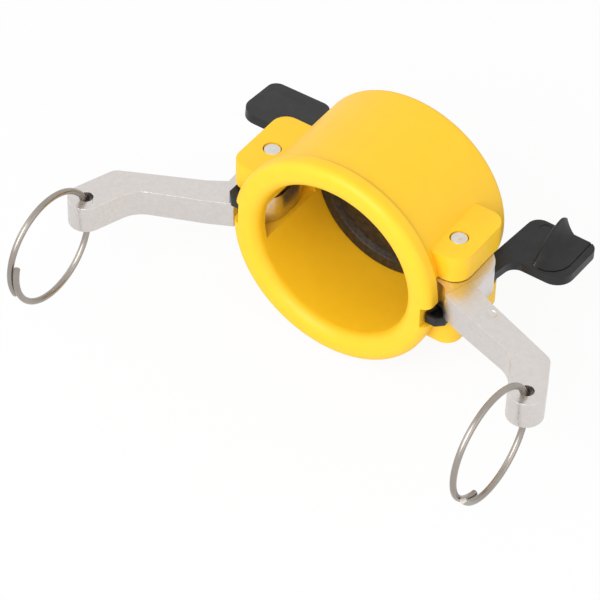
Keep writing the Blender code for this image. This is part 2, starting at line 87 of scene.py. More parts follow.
# Pins
PIN_RADIUS = 3.2 * MM
PIN_SUNK = 0.35 * MM          # below the ears' faces
PIN_EDGE = 0.4 * MM
PIN_EDGE_STEPS = 5
PIN_DIMPLE_RADIUS = 1.1 * MM
PIN_DIMPLE_DEPTH = 0.25 * MM

# Cam arms, drawn closed: x away from the cup, y along the first leg, the pin at the origin
ARM_THICKNESS = 11.1 * MM
ARM_EDGE = 0.45 * MM
CAM_RADIUS = 13.3 * MM
CAM_START = math.radians(121.5)
CAM_STEPS = 32
HUB_FLAT = 7.55 * MM          # pin axis to the flat that faces the bore when open
HUB_FLAT_BACK = 6.25 * MM     # length of that flat towards the closed end
HUB_FLAT_FRONT = 4.85 * MM    # and towards the mouth
HUB_ROUND = 9.0 * MM
HUB_NOSE = (2.2 * MM, 12.7 * MM)
HUB_NOSE_ROUND = 3.0 * MM
CAM_TAPER = math.radians(25)  # from the arm's own back to the end of the cam, when open
HEEL = (14.5 * MM, 11.6 * MM)
HEEL_ROUND = 1.5 * MM
HUB_WAIST = (12.0 * MM, 8.3 * MM)
WAIST_ROUND = 4.0 * MM
NOTCH = (2.5 * MM, 15.3 * MM)
LEG_NEAR = 3.5 * MM
LEG_NEAR_START = 8.0 * MM     # past the notch
LEG_FAR_ROOT = 14.6 * MM
LEG_FAR_START = 10.0 * MM     # past the heel
LEG_FAR_END = 13.2 * MM
BEND_ROUND_OUTER = 5.0 * MM
BEND_ROUND_INNER = 12.0 * MM
FLARE_ANGLE = math.radians(46.5)
FLARE_WIDTH = 13.4 * MM
FLARE_END = 6.85 * MM         # beyond the ring's hole
FLARE_ROUND = 6.6 * MM
RING_HOLE = (19.6 * MM, 64.4 * MM)
RING_HOLE_RADIUS = 2.6 * MM
RING_HOLE_STEPS = 40
DIMPLE = (6.75 * MM, 28.4 * MM)
DIMPLE_RADIUS = 1.95 * MM
DIMPLE_DEPTH = 0.6 * MM       # of the whole bowl, whose floor is a flat a little higher
DIMPLE_RIM = 0.05 * MM        # straight part at the dimple's edge
DIMPLE_WIDER = 0.02 * MM      # how much wider the bowl is than its arc
DIMPLE_STEPS = 8              # of the whole bowl
DIMPLE_LAST_STEP = 5          # where the flat begins
OPEN_RIGHT = math.radians(110.0)   # from closed to the pose drawn
OPEN_LEFT = math.radians(116.3)

# Lock levers, drawn as they lie: x away from the pin, y along the cup, the pin at the origin
LOCK_THICKNESS = 3.7 * MM
LOCK_EDGE = 0.4 * MM
LOCK_SIDE = 6.6 * MM
LOCK_BORE_SIDE = 7.1 * MM
LOCK_BORE_BACK = 4.0 * MM     # from the pin axis towards the closed end
LOCK_BORE_BACK_ROUND = 2.0 * MM
LOCK_BORE_FRONT = 6.0 * MM    # from the pin axis towards the mouth
LOCK_BORE_FRONT_ROUND = 1.5 * MM
LOCK_WALL_SIDE = 2.4 * MM
LOCK_WALL_START = 4.0 * MM    # before the slot's back end
LOCK_WALL_ROUND = 1.0 * MM
LOCK_NECK = 9.5 * MM
NECK_SLIMMER = 1.0 * MM       # at its start
NECK_WIDER = 0.4 * MM         # at its end
NECK_START = 13.5 * MM
NECK_ROUND = 4.6 * MM
NOSE_SIDE = 0.5 * MM          # past the pin axis towards the cup
NOSE_FRONT = 19.6 * MM        # from the pin axis towards the mouth
NOSE_ROOT = 2.0 * MM          # from the slot's front end to the nose's root
NOSE_ROOT_ROUND = 1.0 * MM
NOSE_ROUND = 0.6 * MM
NOSE_BEVEL = 2.6 * MM
NOSE_POCKET = 2.3 * MM
NOSE_WALL = 1.2 * MM
POCKET_BEVEL = 2.08 * MM
POCKET_BACK = 5.2 * MM        # from the slot's front end
POCKET_ROUND = 0.3 * MM
NOTCH_CLEAR = 0.4 * MM
NOTCH_TOP = 0.8 * MM          # the notch's upper side, above the cup's middle
TAB_REACH = 31.2 * MM
TAB_FRONT = 22.4 * MM
TAB_FRONT_ROUND = 7.0 * MM
TAB_BACK = 46.8 * MM
TAB_BACK_ROUND = 4.0 * MM
TAB_TAPER = 0.5 * MM
TAB_INNER = 4.4 * MM
TAB_INNER_ROUND = 5.0 * MM
TAB_INNER_FRONT = 0.8 * MM    # before the tab's front edge
LEAN_RIGHT = 0.0              # how far each tab rests bent towards its arm
LEAN_LEFT = math.radians(7.0)
LEAN_BEND = 2.0 * MM          # length over which the lean starts
FIN_SIDE = 16.6 * MM
FIN_CREST = 1.6 * MM
FIN_SLOPE = 1.12 * MM         # from the crest's side to where the hollow slope begins
FIN_HEIGHT = 8.9 * MM         # above the lever's face
FIN_FOOT = 27.6 * MM
FIN_FOOT_FRONT = 24.0 * MM
FIN_FOOT_SPREAD = 14.0 * MM   # how fast the foot reaches its full width
FIN_SUNK = 0.4 * MM           # the scoop's lowest edge, inside the plate
FIN_SCOOP = 4.0               # how hollow the thumb rest is
FIN_CLOSER = 1.4              # how much closer the slope's points lie near the crest
FIN_RISE = 1.8                # how fast the crest rises from the front
FIN_FRONT = 23.4 * MM
FIN_PEAK = 42.0 * MM
FIN_DROP = 1.9 * MM           # from the peak to the fin's back end
FIN_END = 1.2 * MM            # from the fin's back end to the tab's
FIN_STEPS = 18
FIN_ROWS = 40
CREST_STEPS = 4

# Marks in the tab's plate: a shallow round one, and a groove between the thumb rest and the outer lip
MARK = (10.8 * MM, 43.0 * MM)
MARK_RADIUS = 2.3 * MM
MARK_DEPTH = 0.18 * MM
GROOVE_END = 0.2 * MM         # before the tab's back edge
GROOVE_TURN = (               # from the thumb rest's foot and from the tab's front edge
    (0.5 * MM, 9.5 * MM), (-0.4 * MM, 6.0 * MM), (-2.6 * MM, 3.2 * MM),
    (-5.6 * MM, 1.5 * MM), (-8.0 * MM, 1.3 * MM))
GROOVE_HALF = 0.45 * MM       # half its width at the top
GROOVE_FLOOR_HALF = 0.27 * MM
GROOVE_DEPTH = 0.35 * MM

# Split rings
RING_RADIUS = 21.3 * MM       # to the middle of the wire
WIRE_RADIUS = 1.2 * MM
RING_LAP = math.radians(42.0)
RING_SEAT = 0.45 * MM         # how far the wire sits back in its hole
RING_TURN = math.radians(-1.0)
RING_TILT_RIGHT = math.radians(8.7)
RING_TILT_LEFT = math.radians(9.2)
RING_JOINT_RIGHT = math.radians(-45.0)  # where the wire's ends lap, from the far side
RING_JOINT_LEFT = math.radians(2.0)
RING_STEPS = 160
WIRE_STEPS = 16

# Stage and camera
FLOOR_GAP = 0.2 * MM          # between the floor and the rim
FLOOR_HALF = 4.0              # metres
FLOOR_GLOW = 0.92             # share of plain white in the floor, where it is seen directly
ROOM_LIGHT = 0.72
AIM = (0.0, -0.04, 0.0)
LAMPS = (                     # name, place, size and watts
    ("front", (0.02, -1.08, 0.84), 0.9, 11.8),
    ("left", (-1.20, -0.40, 0.45), 1.0, 2.0),
    ("right", (1.20, -0.40, 0.30), 1.0, 2.8))
LENS = 195.24                 # millimetres, as the sensor's width
SENSOR = 36.0
CAMERA_PLACE = (0.456376, -0.758344, 0.788264)
CAMERA_RIGHT = Vector((0.82140, 0.57000, 0.02020))
CAMERA_UP = Vector((-0.40714, 0.56117, 0.72064))
CAMERA_AHEAD = Vector((-0.39944, 0.60016, -0.69301))

# What follows from the sizes above
BODY_RADIUS = BORE_RADIUS + CUP_WALL
RIM_RADIUS = BODY_RADIUS + RIM_BEAD
RIM_FALL = 1.4 * RIM_SHOULDER
PIN_OFFSET = BODY_RADIUS - PIN_INSET
EAR_REACH = PIN_OFFSET + EAR_SIDE
EAR_ROOT = BODY_RADIUS - EAR_ROOT_DEPTH
MOUTH_Y = -CUP_LENGTH
PIN_Y = MOUTH_Y + PIN_FROM_MOUTH
FLOOR = CUP_LENGTH - SEAL_DEPTH - SEAL_THICKNESS - CLEAR
SEAL_RADIUS = BORE_RADIUS - CLEAR
SEAL_WEB_RADIUS = SEAL_RADIUS - SEAL_LAND
ARM_TOP = EAR_GAP / 2 - CLEAR
ARM_BOTTOM = ARM_TOP - ARM_THICKNESS
LOCK_TOP = ARM_BOTTOM - CLEAR
LOCK_BOTTOM = LOCK_TOP - LOCK_THICKNESS
PIN_HOLE_RADIUS = PIN_RADIUS + HOLE_CLEAR
FLEX_Y = EAR_BACK - PIN_FROM_MOUTH + CLEAR

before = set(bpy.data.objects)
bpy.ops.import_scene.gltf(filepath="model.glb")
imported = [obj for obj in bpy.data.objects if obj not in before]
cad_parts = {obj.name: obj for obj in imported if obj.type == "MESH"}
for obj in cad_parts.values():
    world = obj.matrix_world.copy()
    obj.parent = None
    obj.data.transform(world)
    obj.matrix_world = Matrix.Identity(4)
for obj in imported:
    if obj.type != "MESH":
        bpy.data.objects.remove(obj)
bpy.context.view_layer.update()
scene = bpy.context.scene
LOOKS = bpy.data.collections.new("looks")
scene.collection.children.link(LOOKS)


# Shapes


def side_matrix(side):
    """Right side's places to world: the left side is turned half a turn about Y."""
    return Matrix.Identity(4) if side > 0 else Matrix.Rotation(math.pi, 4, "Y")


def pin_matrix(side):
    """A pin's own places to world."""
    return side_matrix(side) @ Matrix.Translation((PIN_OFFSET, PIN_Y, 0))


def new_object(name, mesh):
    obj = bpy.data.objects.new(name, mesh)
    LOOKS.objects.link(obj)
    return obj


def arc(centre, radius, start, end, steps):
    return [
        (centre[0] + radius * math.cos(start + (end - start) * i / steps),
         centre[1] + radius * math.sin(start + (end - start) * i / steps))
        for i in range(steps + 1)
    ]


def circle(centre, radius, steps=48):
    return arc(centre, radius, 0, 2 * math.pi, steps)[:-1]


def rounded(corners, steps=8):
    """Outline through corners given as x, y and radius, with an arc at each corner that has a radius."""
    points = []
    for i, (x, y, radius) in enumerate(corners):
        here = Vector((x, y))
        if not radius:
            points.append((x, y))
            continue
        back = (Vector(corners[i - 1][:2]) - here).normalized()
        ahead = (Vector(corners[(i + 1) % len(corners)][:2]) - here).normalized()
        half = back.angle(ahead) / 2
        centre = here + (back + ahead).normalized() * (radius / math.sin(half))
        first = here + back * (radius / math.tan(half)) - centre
        last = here + ahead * (radius / math.tan(half)) - centre
        turn = -first.angle_signed(last)
        start = math.atan2(first.y, first.x)
        points += arc(centre, radius, start, start + turn, steps)
    return points


def drawn_mesh(obj):
    """New mesh of an object with its modifiers."""
    bpy.context.view_layer.update()
    graph = bpy.context.evaluated_depsgraph_get()
    return bpy.data.meshes.new_from_object(obj.evaluated_get(graph), depsgraph=graph)


def apply(obj):
    """Turns the object's modifiers into its mesh, where it stands."""
    mesh = drawn_mesh(obj)
    obj.modifiers.clear()
    obj.data = mesh
    return obj


def merge_points(mesh, distance):
    """Merges near points and turns the faces outwards."""
    shape = bmesh.new()
    shape.from_mesh(mesh)
    bmesh.ops.remove_doubles(shape, verts=shape.verts, dist=distance)
    bmesh.ops.recalc_face_normals(shape, faces=shape.faces)
    shape.to_mesh(mesh)
    shape.free()


def welded(obj):
    """Merged mesh of an object with its modifiers, placed in the world, and the object removed."""
    mesh = drawn_mesh(obj)
    mesh.transform(obj.matrix_world)
    merge_points(mesh, WELD)
    bpy.data.objects.remove(obj, do_unlink=True)
    return mesh


def plate(name, outlines, low, high):
    """Flat plate from low to high: the first outline is its edge and the rest are holes."""
    curve = bpy.data.curves.new(name, "CURVE")
    curve.dimensions = "2D"
    curve.fill_mode = "BOTH"
    curve.extrude = (high - low) / 2
    for outline in outlines:
        spline = curve.splines.new("POLY")
        spline.points.add(len(outline) - 1)
        for point, (x, y) in zip(spline.points, outline):
            point.co = (x, y, 0, 1)
        spline.use_cyclic_u = True
    mesh = welded(new_object(name + "_outline", curve))
    bpy.data.curves.remove(curve)
    mesh.transform(Matrix.Translation((0, 0, (high + low) / 2)))
    return new_object(name, mesh)


def bevel(obj, width, segments=3):
    mod = obj.modifiers.new("soft edges", "BEVEL")
    mod.width = width
    mod.segments = segments
    mod.limit_method = "ANGLE"
    mod.angle_limit = SOFT_EDGE_FROM
    apply(obj)


def cut(obj, other, operation="DIFFERENCE"):
    mod = obj.modifiers.new(other.name, "BOOLEAN")
    mod.operation = operation
    mod.object = other
    mod.solver = "EXACT"
    apply(obj)
    bpy.data.objects.remove(other, do_unlink=True)


def turned(name, profile, steps=192):
    """Round piece about Z from a profile of radii and heights."""
    edges = [(i, i + 1) for i in range(len(profile) - 1)]
    mesh = bpy.data.meshes.new(name)
    mesh.from_pydata([(r, 0, z) for r, z in profile], edges, [])
    obj = new_object(name, mesh)
    mod = obj.modifiers.new("turn", "SCREW")
    mod.axis = "Z"
    mod.angle = 2 * math.pi
    mod.steps = steps
    mod.render_steps = steps
    mod.use_merge_vertices = True
    mod.merge_threshold = WELD
    return apply(obj)


def turn_to_mouth(obj):
    """Turns a round piece so that its +Z points out of the cup's mouth."""
    obj.data.transform(Matrix.Rotation(math.pi / 2, 4, "X"))
    return obj


def box(name, low, high):
    shape = bmesh.new()
    bmesh.ops.create_cube(shape, size=1.0)
    mesh = bpy.data.meshes.new(name)
    shape.to_mesh(mesh)
    shape.free()
    size = Vector(high) - Vector(low)
    mesh.transform(Matrix.Translation((Vector(high) + Vector(low)) / 2) @ Matrix.Diagonal((*size, 1)))
    return new_object(name, mesh)


def rod(name, radius, low, high, centre, steps=48):
    shape = bmesh.new()
    bmesh.ops.create_cone(shape, cap_ends=True, segments=steps, radius1=radius, radius2=radius,
                          depth=high - low)
    mesh = bpy.data.meshes.new(name)
    shape.to_mesh(mesh)
    shape.free()
    mesh.transform(Matrix.Translation((*centre, (high + low) / 2)))
    return new_object(name, mesh)


def loft(name, sections):
    """Closed skin over loops of equally many points."""
    count = len(sections[0])
    points = [p for section in sections for p in section]
    faces = [tuple(range(count))[::-1], tuple(range(len(points) - count, len(points)))]
    for s in range(len(sections) - 1):
        for i in range(count):
            j = (i + 1) % count
            a, b = s * count, (s + 1) * count
            faces.append((a + i, a + j, b + j, b + i))
    mesh = bpy.data.meshes.new(name)
    mesh.from_pydata(points, [], faces)
    shape = bmesh.new()
    shape.from_mesh(mesh)
    bmesh.ops.recalc_face_normals(shape, faces=shape.faces)
    shape.to_mesh(mesh)
    shape.free()
    return new_object(name, mesh)


def finished(obj, name, finish, sharp_from, place=None):
    """The piece with world places in its mesh, one material, and sharp edges from an angle in degrees."""
    if place is not None:
        obj.data.transform(place)
    obj.name = name
    obj.data.name = name
    merge_points(obj.data, LAST_WELD)
    obj.data.materials.clear()
    obj.data.materials.append(finish)
    obj.data.shade_smooth()
    obj.data.set_sharp_from_angle(angle=math.radians(sharp_from))
    return obj


# Materials


class Finish:
    """One material's nodes, with object coordinates at hand."""

    def __init__(self, name, metallic, gloss=0.5):
        self.material = bpy.data.materials.new(name)
        self.material.use_nodes = True
        self.tree = self.material.node_tree
        self.shader = self.tree.nodes["Principled BSDF"]
        self.shader.inputs["Metallic"].default_value = metallic
        self.shader.inputs["Specular IOR Level"].default_value = gloss
        self.coords = self.tree.nodes.new("ShaderNodeTexCoord").outputs["Object"]

    def noise(self, scale, detail, roughness=0.5):
        node = self.tree.nodes.new("ShaderNodeTexNoise")
        node.inputs["Scale"].default_value = scale
        node.inputs["Detail"].default_value = detail
        node.inputs["Roughness"].default_value = roughness
        self.tree.links.new(self.coords, node.inputs["Vector"])
        return node.outputs["Fac"]

    def colour(self, value, dark, light):
        node = self.tree.nodes.new("ShaderNodeValToRGB")
        for element, position, shade in zip(node.color_ramp.elements, (0.35, 0.65), (dark, light)):
            element.position = position
            element.color = (*shade, 1)
        self.tree.links.new(value, node.inputs["Fac"])
        self.tree.links.new(node.outputs["Color"], self.shader.inputs["Base Color"])

    def roughness(self, value, low, high):
        node = self.tree.nodes.new("ShaderNodeMapRange")
        node.inputs["From Min"].default_value = 0.3
        node.inputs["From Max"].default_value = 0.7
        node.inputs["To Min"].default_value = low
        node.inputs["To Max"].default_value = high
        self.tree.links.new(value, node.inputs["Value"])
        self.tree.links.new(node.outputs["Result"], self.shader.inputs["Roughness"])

    def bump(self, value, strength, distance):
        node = self.tree.nodes.new("ShaderNodeBump")
        node.inputs["Strength"].default_value = strength
        node.inputs["Distance"].default_value = distance
        self.tree.links.new(value, node.inputs["Height"])
        self.tree.links.new(node.outputs["Normal"], self.shader.inputs["Normal"])


def plastic(name, dark, light, rough, grain, strength, mottle=160, gloss=0.5):
    """Moulded plastic or rubber: faint mottle in colour and gloss, and a fine grain."""
    finish = Finish(name, metallic=0.0, gloss=gloss)
    finish.colour(finish.noise(mottle, detail=4), dark, light)
    finish.roughness(finish.noise(420, detail=2), *rough)
    finish.bump(finish.noise(grain, detail=3, roughness=0.6), strength, 0.05 * MM)
    return finish.material


def metal(name, dark, light, rough, grain, strength):
    """Bare metal: cloudy colour and gloss, and a grain from tumbling, turning or drawing."""
    finish = Finish(name, metallic=1.0)
    finish.colour(finish.noise(grain * 0.35, detail=5, roughness=0.6), dark, light)
    finish.roughness(finish.noise(grain * 0.6, detail=4), *rough)
    finish.bump(finish.noise(grain, detail=4, roughness=0.65), strength, 0.06 * MM)
    return finish.material


YELLOW = plastic("yellow_nylon", dark=(0.95, 0.565, 0.012), light=(0.97, 0.58, 0.015),
                 rough=(0.44, 0.50), grain=900, strength=0.03)
RUBBER = plastic("black_rubber", dark=(0.008, 0.005, 0.003), light=(0.040, 0.026, 0.015),
                 rough=(0.40, 0.62), grain=520, strength=0.45, mottle=900)
BLACK = plastic("black_plastic", dark=(0.006, 0.006, 0.007), light=(0.012, 0.012, 0.013),
                rough=(0.34, 0.44), grain=700, strength=0.16, gloss=0.36)
ALLOY = metal("tumbled_aluminium", dark=(0.655, 0.62, 0.595), light=(0.695, 0.66, 0.635),
              rough=(0.27, 0.34), grain=1600, strength=0.08)
STEEL = metal("turned_steel", dark=(0.68, 0.65, 0.61), light=(0.74, 0.71, 0.67),
              rough=(0.34, 0.42), grain=900, strength=0.04)
WIRE = metal("ring_wire", dark=(0.33, 0.295, 0.265), light=(0.38, 0.345, 0.31),
             rough=(0.28, 0.34), grain=300, strength=0.01)


# Cup and seal


def cup_profile():
    top = CUP_LENGTH
    lip = arc((BORE_RADIUS + LIP_ROUND, top - LIP_ROUND), LIP_ROUND, math.pi, math.pi / 2, EDGE_STEPS)
    edge = arc((RIM_RADIUS - RIM_ROUND, top - RIM_ROUND), RIM_ROUND, math.pi / 2, 0, EDGE_STEPS)
    back = arc((BODY_RADIUS - BACK_ROUND, BACK_ROUND), BACK_ROUND, 0, -math.pi / 2, BACK_STEPS)
    shoulder = top - RIM_LENGTH + RIM_SHOULDER
    fall = []
    for i in range(FALL_STEPS + 1):
        t = i / FALL_STEPS
        stands_out = RIM_BEAD * (0.5 + 0.5 * math.cos(math.pi * t))
        fall.append((BODY_RADIUS + stands_out, shoulder - RIM_FALL * t))
    profile = [(0, FLOOR), (BORE_RADIUS, FLOOR)] + lip + edge + fall + back + [(0, 0)]
    return [(r - (SKIN if r > OUTSIDE_FROM else 0), z) for r, z in profile]


def build_ear(side, level):
    """One ear: side is 1 right and -1 left, level is 1 above the slot and -1 below it."""
    beside_lock = level != side
    front = MOUTH_Y + (EAR_FRONT_LONG if beside_lock else EAR_FRONT)
    back = MOUTH_Y + EAR_BACK
    soft = EAR_LONG_ROUND if beside_lock else EAR_FRONT_ROUND
    outline = rounded([(EAR_ROOT, front, 0), (EAR_REACH, front, soft),
                       (EAR_REACH, back, EAR_BACK_ROUND), (EAR_ROOT, back, 0)])
    low, high = sorted((level * EAR_GAP / 2, level * EAR_TOP))
    ear = plate("ear", [[(side * x, y) for x, y in outline]], low, high)
    bevel(ear, EAR_EDGE, 4)
    return ear


def build_cup():
    cup = turn_to_mouth(turned("cup_blank", cup_profile()))
    for side in (1, -1):
        for level in (1, -1):
            cut(cup, build_ear(side, level), "UNION")
    half = EAR_GAP / 2
    outside = RIM_RADIUS + RIM_ROUND
    past_ears = 1.2 * EAR_TOP
    for side in (1, -1):
        slot = box("slot", (0.6 * BORE_RADIUS, MOUTH_Y + SLOT_FRONT, -half),
                   (outside, MOUTH_Y + SLOT_BACK, half))
        notch = box("notch", (PIN_OFFSET - NOSE_SIDE - NOTCH_CLEAR, MOUTH_Y - RIM_ROUND, -half),
                    (outside, MOUTH_Y + SLOT_FRONT + RIM_ROUND, NOTCH_TOP))
        hole = rod("hole", PIN_HOLE_RADIUS, -past_ears, past_ears, (PIN_OFFSET, PIN_Y))
        for cutter in (slot, notch, hole):
            cutter.data.transform(side_matrix(side))
            cut(cup, cutter)
    return finished(cup, "cup_shell", YELLOW, sharp_from=30)


def build_seal():
    """Flat disc with a raised ring at its edge, where the adapter seats."""
    face = CUP_LENGTH - SEAL_DEPTH
    base = face - SEAL_THICKNESS
    web = face - SEAL_WEB_DROP
    soft, steps = SEAL_EDGE, SEAL_EDGE_STEPS
    r = SEAL_RADIUS - SKIN
    profile = ([(0, web), (SEAL_WEB_RADIUS - SEAL_WEB_DROP / 2, web)]
               + arc((SEAL_WEB_RADIUS + soft, face - soft), soft, math.radians(153), math.pi / 2, steps)
               + arc((r - soft, face - soft), soft, math.pi / 2, 0, steps)
               + arc((r - soft, base + soft), soft, 0, -math.pi / 2, steps) + [(0, base)])
    return finished(turn_to_mouth(turned("seal_blank", profile)), "seal", RUBBER, sharp_from=35)


# Arms and pins


def arm_outline():
    """Cam arm seen along its pin, closed, with its pin at the origin."""
    flare = Vector((math.cos(FLARE_ANGLE), math.sin(FLARE_ANGLE)))
    across = Vector((-flare.y, flare.x))
    end = Vector(RING_HOLE) + flare * FLARE_END
    outer_end = end + across * FLARE_WIDTH / 2
    inner_end = end - across * FLARE_WIDTH / 2
    outer_bend = outer_end - flare * ((outer_end.x - LEG_NEAR) / flare.x)
    inner_bend = inner_end - flare * ((inner_end.x - LEG_FAR_END) / flare.x)
    # The hub's flat lies along the bore when the arm is open, so it is set in the open pose.
    opened = Matrix.Rotation(OPEN_LEFT, 2)
    flat_back = opened @ Vector((-HUB_FLAT, HUB_FLAT_BACK))
    flat_front = opened @ Vector((-HUB_FLAT, -HUB_FLAT_FRONT))
    hub_nose = opened @ Vector((-HUB_NOSE[0], -HUB_NOSE[1]))
    cam_end = math.pi / 2 + CAM_TAPER + OPEN_LEFT
    outline = rounded([
        (LEG_NEAR, NOTCH[1] + LEG_NEAR_START, 0),
        (*outer_bend, BEND_ROUND_OUTER), (*outer_end, FLARE_ROUND), (*inner_end, FLARE_ROUND),
        (*inner_bend, BEND_ROUND_INNER),
        (LEG_FAR_ROOT, HEEL[1] + LEG_FAR_START, 0), (*HEEL, HEEL_ROUND), (*HUB_WAIST, WAIST_ROUND),
        (*hub_nose, HUB_NOSE_ROUND), (*flat_front, HUB_ROUND), (*flat_back, 0)])
    return outline + arc((0, 0), CAM_RADIUS, cam_end, CAM_START, CAM_STEPS) + [NOTCH]


def arm_dimple(top):
    """Cutter for the round mark in the arm's top: a short straight edge, then a bowl with a small flat."""
    rows = [(DIMPLE_RADIUS, top + DIMPLE_DEPTH), (DIMPLE_RADIUS, top - DIMPLE_RIM)]
    for i in range(1, DIMPLE_LAST_STEP + 1):
        turn = math.pi / 2 * i / DIMPLE_STEPS
        depth = DIMPLE_RIM + (DIMPLE_DEPTH - DIMPLE_RIM) * math.sin(turn)
        rows.append((DIMPLE_RADIUS * math.cos(turn) + DIMPLE_WIDER, top - depth))
    return loft("dimple", [[(x, y, z) for x, y in circle(DIMPLE, r, 32)] for r, z in rows])


def build_arm(label, side, opening):
    top = ARM_TOP - SKIN
    holes = [circle((0, 0), PIN_HOLE_RADIUS), circle(RING_HOLE, RING_HOLE_RADIUS, RING_HOLE_STEPS)]
    arm = plate("arm_blank", [arm_outline()] + holes, ARM_BOTTOM + SKIN, top)
    bevel(arm, ARM_EDGE)
    cut(arm, arm_dimple(top))
    opened = pin_matrix(side) @ Matrix.Rotation(-opening, 4, "Z")
    return finished(arm, f"{label}_arm", ALLOY, sharp_from=30, place=opened)


def build_pin(label, side):
    tip = EAR_TOP - PIN_SUNK
    soft = PIN_EDGE
    r = PIN_RADIUS - SKIN
    dimple = [(0, tip - PIN_DIMPLE_DEPTH), (PIN_DIMPLE_RADIUS * 0.45, tip - PIN_DIMPLE_DEPTH * 0.85),
              (PIN_DIMPLE_RADIUS, tip)]
    profile = (dimple
               + arc((r - soft, tip - soft), soft, math.pi / 2, 0, PIN_EDGE_STEPS)
               + arc((r - soft, soft - tip), soft, 0, -math.pi / 2, PIN_EDGE_STEPS)
               + [(x, -z) for x, z in reversed(dimple)])
    pin = turned("pin_blank", profile, 64)
    return finished(pin, f"{label}_pin", STEEL, sharp_from=35, place=pin_matrix(side))


# Lock levers


def lock_outline():
    """Lock lever seen from above: the nose, the part between the ears, the neck and the thumb tab."""
    slot_front = SLOT_FRONT - PIN_FROM_MOUTH
    slot_back = SLOT_BACK - PIN_FROM_MOUTH
    return rounded([
        (LOCK_SIDE, 0, 0), (LOCK_NECK - NECK_SLIMMER, NECK_START, 0),
        (LOCK_NECK + NECK_WIDER, TAB_FRONT, NECK_ROUND),
        (TAB_REACH - TAB_TAPER, TAB_FRONT, TAB_FRONT_ROUND),
        (TAB_REACH, TAB_BACK - TAB_TAPER, TAB_BACK_ROUND),
        (TAB_INNER, TAB_BACK, TAB_INNER_ROUND), (LOCK_WALL_SIDE, TAB_FRONT - TAB_INNER_FRONT, 0),
        (LOCK_WALL_SIDE, slot_back - LOCK_WALL_START, LOCK_WALL_ROUND),
        (-LOCK_BORE_SIDE, LOCK_BORE_BACK, LOCK_BORE_BACK_ROUND),
        (-LOCK_BORE_SIDE, -LOCK_BORE_FRONT, LOCK_BORE_FRONT_ROUND),
        (-NOSE_SIDE, slot_front + NOSE_ROOT, NOSE_ROOT_ROUND), (-NOSE_SIDE, -NOSE_FRONT, NOSE_ROUND),
        (LOCK_SIDE - NOSE_BEVEL, -NOSE_FRONT, NOSE_ROUND),
        (LOCK_SIDE, NOSE_BEVEL - NOSE_FRONT, NOSE_ROUND)])


def nose_pocket():
    """Cutter for the hollow in the nose, which leaves a wall round it."""
    front = NOSE_WALL - NOSE_FRONT
    back = SLOT_FRONT - PIN_FROM_MOUTH + POCKET_BACK
    outline = rounded([
        (NOSE_WALL - NOSE_SIDE, front, POCKET_ROUND), (LOCK_SIDE - POCKET_BEVEL, front, POCKET_ROUND),
        (LOCK_SIDE - NOSE_WALL, front + NOSE_BEVEL, POCKET_ROUND),
        (2 * NOSE_WALL - NOSE_SIDE, back, POCKET_ROUND)], 3)
    return plate("pocket", [outline], LOCK_TOP - NOSE_POCKET, LOCK_TOP + MM)


def fin_section(y, back):
    """Loop across the thumb rest at one y: a rounded crest with a hollow slope down to its foot."""
    middle = LOCK_TOP - LOCK_THICKNESS / 2
    base = LOCK_TOP - FIN_SUNK
    if y < FIN_PEAK:
        left = (FIN_PEAK - y) / (FIN_PEAK - FIN_FRONT)
        height = (FIN_HEIGHT + FIN_SUNK) * (1 - left ** FIN_RISE)
    else:
        height = FIN_HEIGHT + FIN_SUNK - FIN_DROP * ((y - FIN_PEAK) / (back - FIN_PEAK)) ** 2
    foot = min(FIN_FOOT, FIN_FOOT_FRONT + FIN_FOOT_SPREAD * (y - FIN_FRONT) / (back - FIN_FRONT))
    soft = min(FIN_CREST / 2, height / 2)
    crest = arc((FIN_SIDE + soft, base + height - soft), soft, math.pi, math.pi / 2, CREST_STEPS)
    loop = [(FIN_SIDE, y, middle)] + [(x, y, z) for x, z in crest]
    slope = FIN_SIDE + FIN_SLOPE
    for i in range(FIN_STEPS + 1):
        t = (i / FIN_STEPS) ** FIN_CLOSER
        loop.append((slope + (foot - slope) * t, y, base + height * (1 - t) ** FIN_SCOOP))
    return loop + [(foot, y, middle)]


def thumb_rest():
    back = TAB_BACK - FIN_END
    places = [FIN_FRONT + (back - FIN_FRONT) * i / FIN_ROWS for i in range(FIN_ROWS + 1)]
    return loft("thumb_rest", [fin_section(y, back) for y in places])


def lip_groove():
    """Cutter for the narrow groove round the thumb rest's foot, between it and the plate's outer lip."""
    high = LOCK_TOP - SKIN + MM
    floor = LOCK_TOP - SKIN - GROOVE_DEPTH
    path = [Vector((FIN_FOOT + GROOVE_TURN[0][0], TAB_BACK - GROOVE_END))]
    path += [Vector((FIN_FOOT + x, TAB_FRONT + y)) for x, y in GROOVE_TURN]
    rows = []
    for i, here in enumerate(path):
        along = path[min(i + 1, len(path) - 1)] - path[max(i - 1, 0)]
        across = Vector((along.y, -along.x)).normalized()
        wide, narrow = across * GROOVE_HALF, across * GROOVE_FLOOR_HALF
        rows.append([(*(here - wide), high), (*(here + wide), high),
                     (*(here + narrow), floor), (*(here - narrow), floor)])
    return loft("groove", rows)


def lean_tab(lock, lean):
    """Bends the tab about the line where the lever flexes."""
    hinge_y = FLEX_Y + CLEAR / 2
    for v in lock.data.vertices:
        along = v.co.y - hinge_y
        if along > 0:
            up = v.co.z - LOCK_BOTTOM
            v.co.y = hinge_y + along * math.cos(lean) - up * math.sin(lean) * min(1, along / LEAN_BEND)
            v.co.z = LOCK_BOTTOM + along * math.sin(lean) + up * math.cos(lean)


